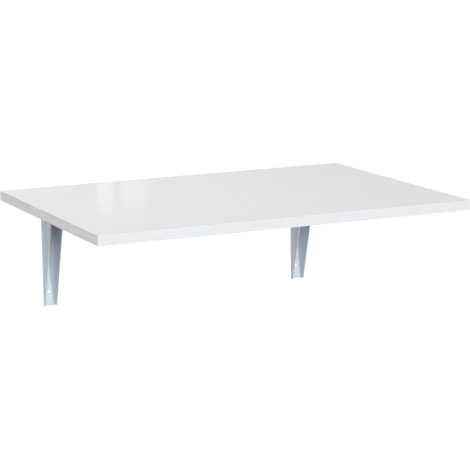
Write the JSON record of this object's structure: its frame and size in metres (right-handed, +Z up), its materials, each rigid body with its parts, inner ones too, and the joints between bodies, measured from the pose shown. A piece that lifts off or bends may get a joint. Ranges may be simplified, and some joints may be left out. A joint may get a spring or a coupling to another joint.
{
  "type": "wall mounted drop leaf table",
  "caption": "White laminated table leaf carried by steel channel brackets on a wall; it folds down flat once the lever in each bracket is released.",
  "frame": {"origin": "centre of the four wall screw holes, on the wall plane", "axes": "+X along the wall, +Y into the wall, +Z up; the leaf reaches out to -Y"},
  "size_m": [0.7, 0.503, 0.2263],
  "materials": {
    "white_laminate": "semi-gloss white melamine decor sheet",
    "white_edge_band": "satin white plastic edge strip",
    "chipboard": "pressed wood chips",
    "white_powder_coat": "white powder coat with a fine orange peel",
    "zinc_steel": "bright zinc plate",
    "spring_steel": "tempered spring strip",
    "white_nylon": "natural nylon",
    "grey_grip": "fine textured moulded plastic"
  },
  "bodies": {
    "wall_frame": {"left_wall_arm": "white_powder_coat", "left_pivot_pin": "zinc_steel", "left_pivot_washers": "white_nylon", "left_catch_pin": "zinc_steel", "right_wall_arm": "white_powder_coat", "right_pivot_pin": "zinc_steel", "right_pivot_washers": "white_nylon", "right_catch_pin": "zinc_steel"},
    "leaf": {"tabletop_core": "chipboard", "top_laminate": "white_laminate", "underside_laminate": "white_laminate", "front_edge_band": "white_edge_band", "rear_edge_band": "white_edge_band", "left_edge_band": "white_edge_band", "right_edge_band": "white_edge_band", "left_table_arm": "white_powder_coat", "left_pivot_sleeve": "zinc_steel", "left_lever_pin": "zinc_steel", "left_lever_spacers": "white_nylon", "left_lever_spring": "spring_steel", "left_spring_rivet": "zinc_steel", "left_arm_screws": "zinc_steel", "right_table_arm": "white_powder_coat", "right_pivot_sleeve": "zinc_steel", "right_lever_pin": "zinc_steel", "right_lever_spacers": "white_nylon", "right_lever_spring": "spring_steel", "right_spring_rivet": "zinc_steel", "right_arm_screws": "zinc_steel"},
    "left_lever": {"left_lock_lever": "zinc_steel", "left_lever_grip": "grey_grip"},
    "right_lever": {"right_lock_lever": "zinc_steel", "right_lever_grip": "grey_grip"}
  },
  "joints": [
    {"name": "leaf_fold", "type": "hinge", "parent": "wall_frame", "child": "leaf", "pos_m": [0, -0.04, 0.113], "axis": [1, 0, 0], "range_deg": [0, 90]},
    {"name": "left_lever_tip", "type": "hinge", "parent": "leaf", "child": "left_lever", "pos_m": [-0.26, -0.092, 0.11], "axis": [1, 0, 0], "range_deg": [0, 8.5], "stiffness_Nm_per_rad": 0.6, "springref_deg": 14.32, "deforming": ["left_lever_spring"]},
    {"name": "right_lever_tip", "type": "hinge", "parent": "leaf", "child": "right_lever", "pos_m": [0.26, -0.092, 0.11], "axis": [1, 0, 0], "range_deg": [0, 8.5], "stiffness_Nm_per_rad": 0.6, "springref_deg": 14.32, "deforming": ["right_lever_spring"]}
  ]
}
